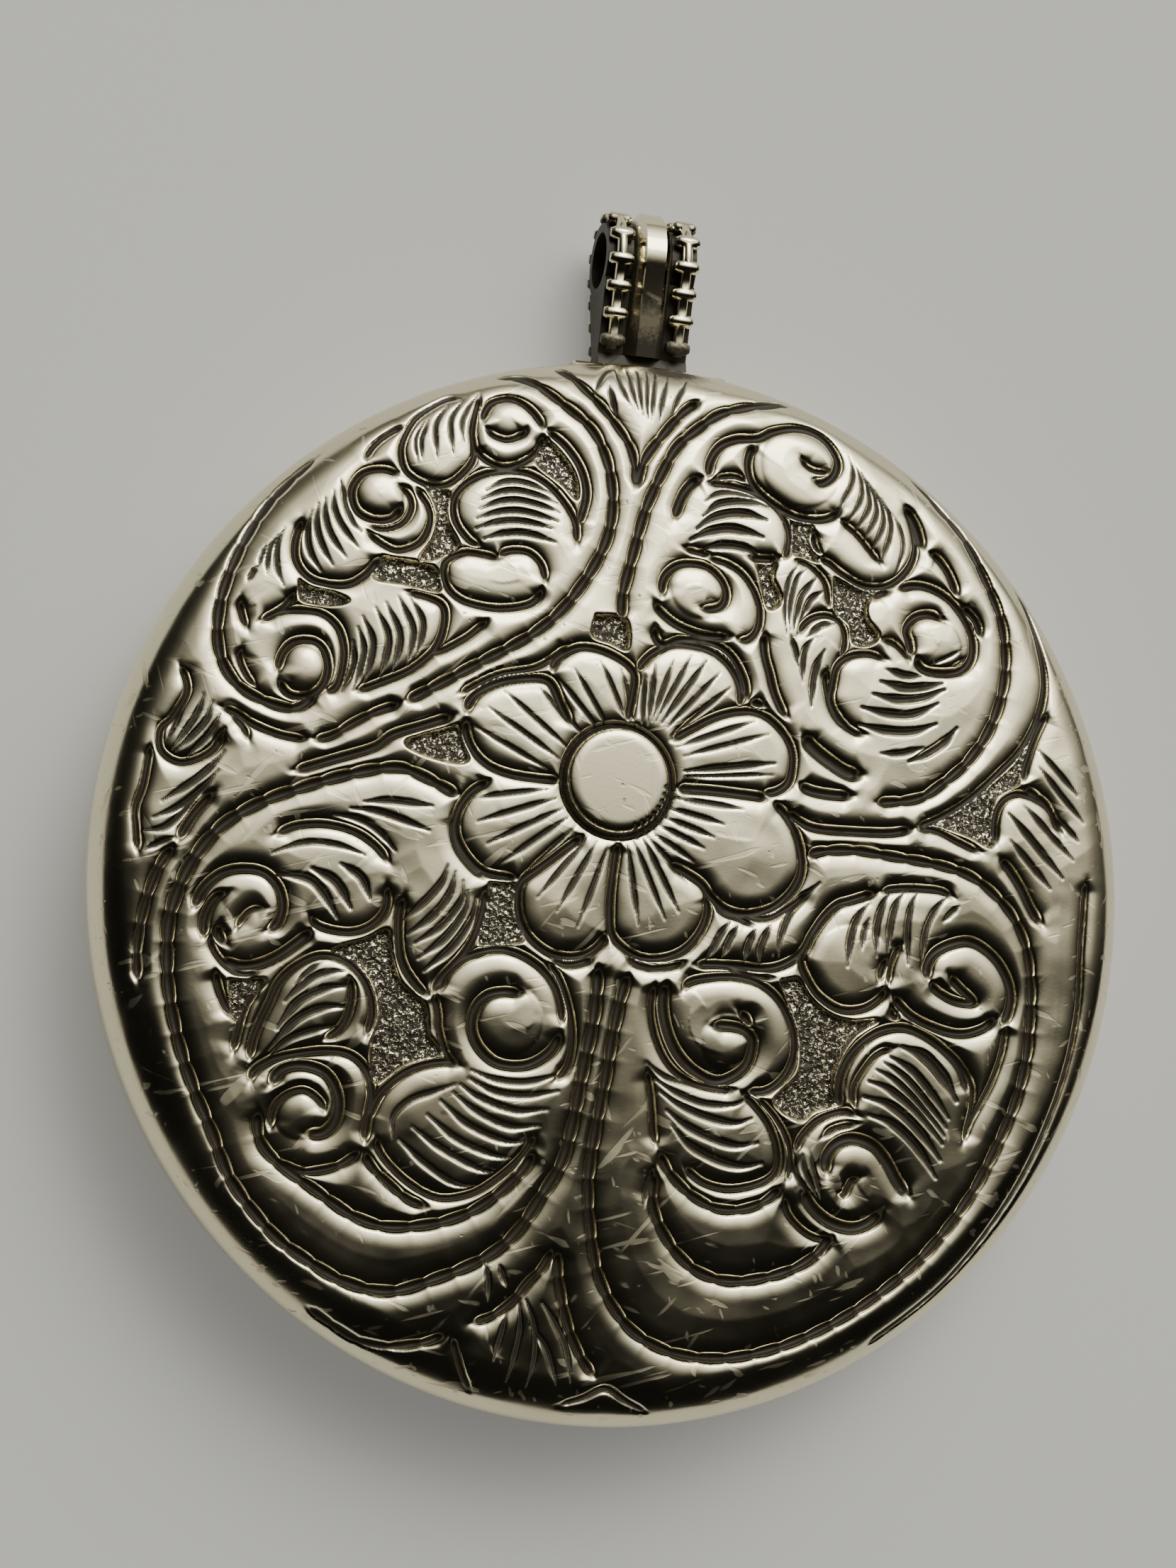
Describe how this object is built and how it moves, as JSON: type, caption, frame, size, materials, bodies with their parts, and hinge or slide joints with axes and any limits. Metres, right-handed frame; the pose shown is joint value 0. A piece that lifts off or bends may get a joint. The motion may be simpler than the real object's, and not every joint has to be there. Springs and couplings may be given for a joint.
{
  "type": "round locket",
  "caption": "Round hinged locket with a chased floral front cover, a fixed beaded bail and picture frames inside the back and the lid.",
  "frame": {"origin": "centre of the round case on the flat outside face of the back cover", "axes": "+Z out of the front cover, +Y towards the bail, +X along the hinge pin and the bail's hole, to the right seen from the front"},
  "size_m": [0.054, 0.0633, 0.0097],
  "materials": {
    "worn_silver": "satin",
    "bright_silver": "gloss",
    "dull_silver": "satin",
    "clear_acetate": "gloss"
  },
  "bodies": {
    "case": {"back_cover": "worn_silver", "case_band": "worn_silver", "case_lip": "bright_silver", "case_knuckle": "worn_silver", "hinge_pin": "bright_silver", "snap_bead": "bright_silver", "back_frame_seat": "dull_silver", "bail_foot": "worn_silver", "bail_band": "worn_silver", "bail_ridge": "bright_silver", "bail_bead_wire_left": "bright_silver", "bail_bead_wire_right": "bright_silver"},
    "lid": {"front_cover": "worn_silver", "lid_band": "worn_silver", "lid_knuckle_left": "worn_silver", "lid_knuckle_right": "worn_silver", "front_frame_seat": "dull_silver"},
    "back_frame": {"back_picture_frame": "bright_silver", "back_window": "clear_acetate"},
    "front_frame": {"front_picture_frame": "bright_silver", "front_window": "clear_acetate"}
  },
  "joints": [
    {"name": "lid_hinge", "type": "hinge", "parent": "case", "child": "lid", "pos_m": [0, 0.0266, 0.0052], "axis": [-1, 0, 0], "range_deg": [0, 90]},
    {"name": "back_frame_slide", "type": "slide", "parent": "case", "child": "back_frame", "axis": [0, 0, 1], "range_m": [0, 0.0011]},
    {"name": "front_frame_slide", "type": "slide", "parent": "lid", "child": "front_frame", "axis": [0, 0, -1], "range_m": [0, 0.0011]}
  ]
}
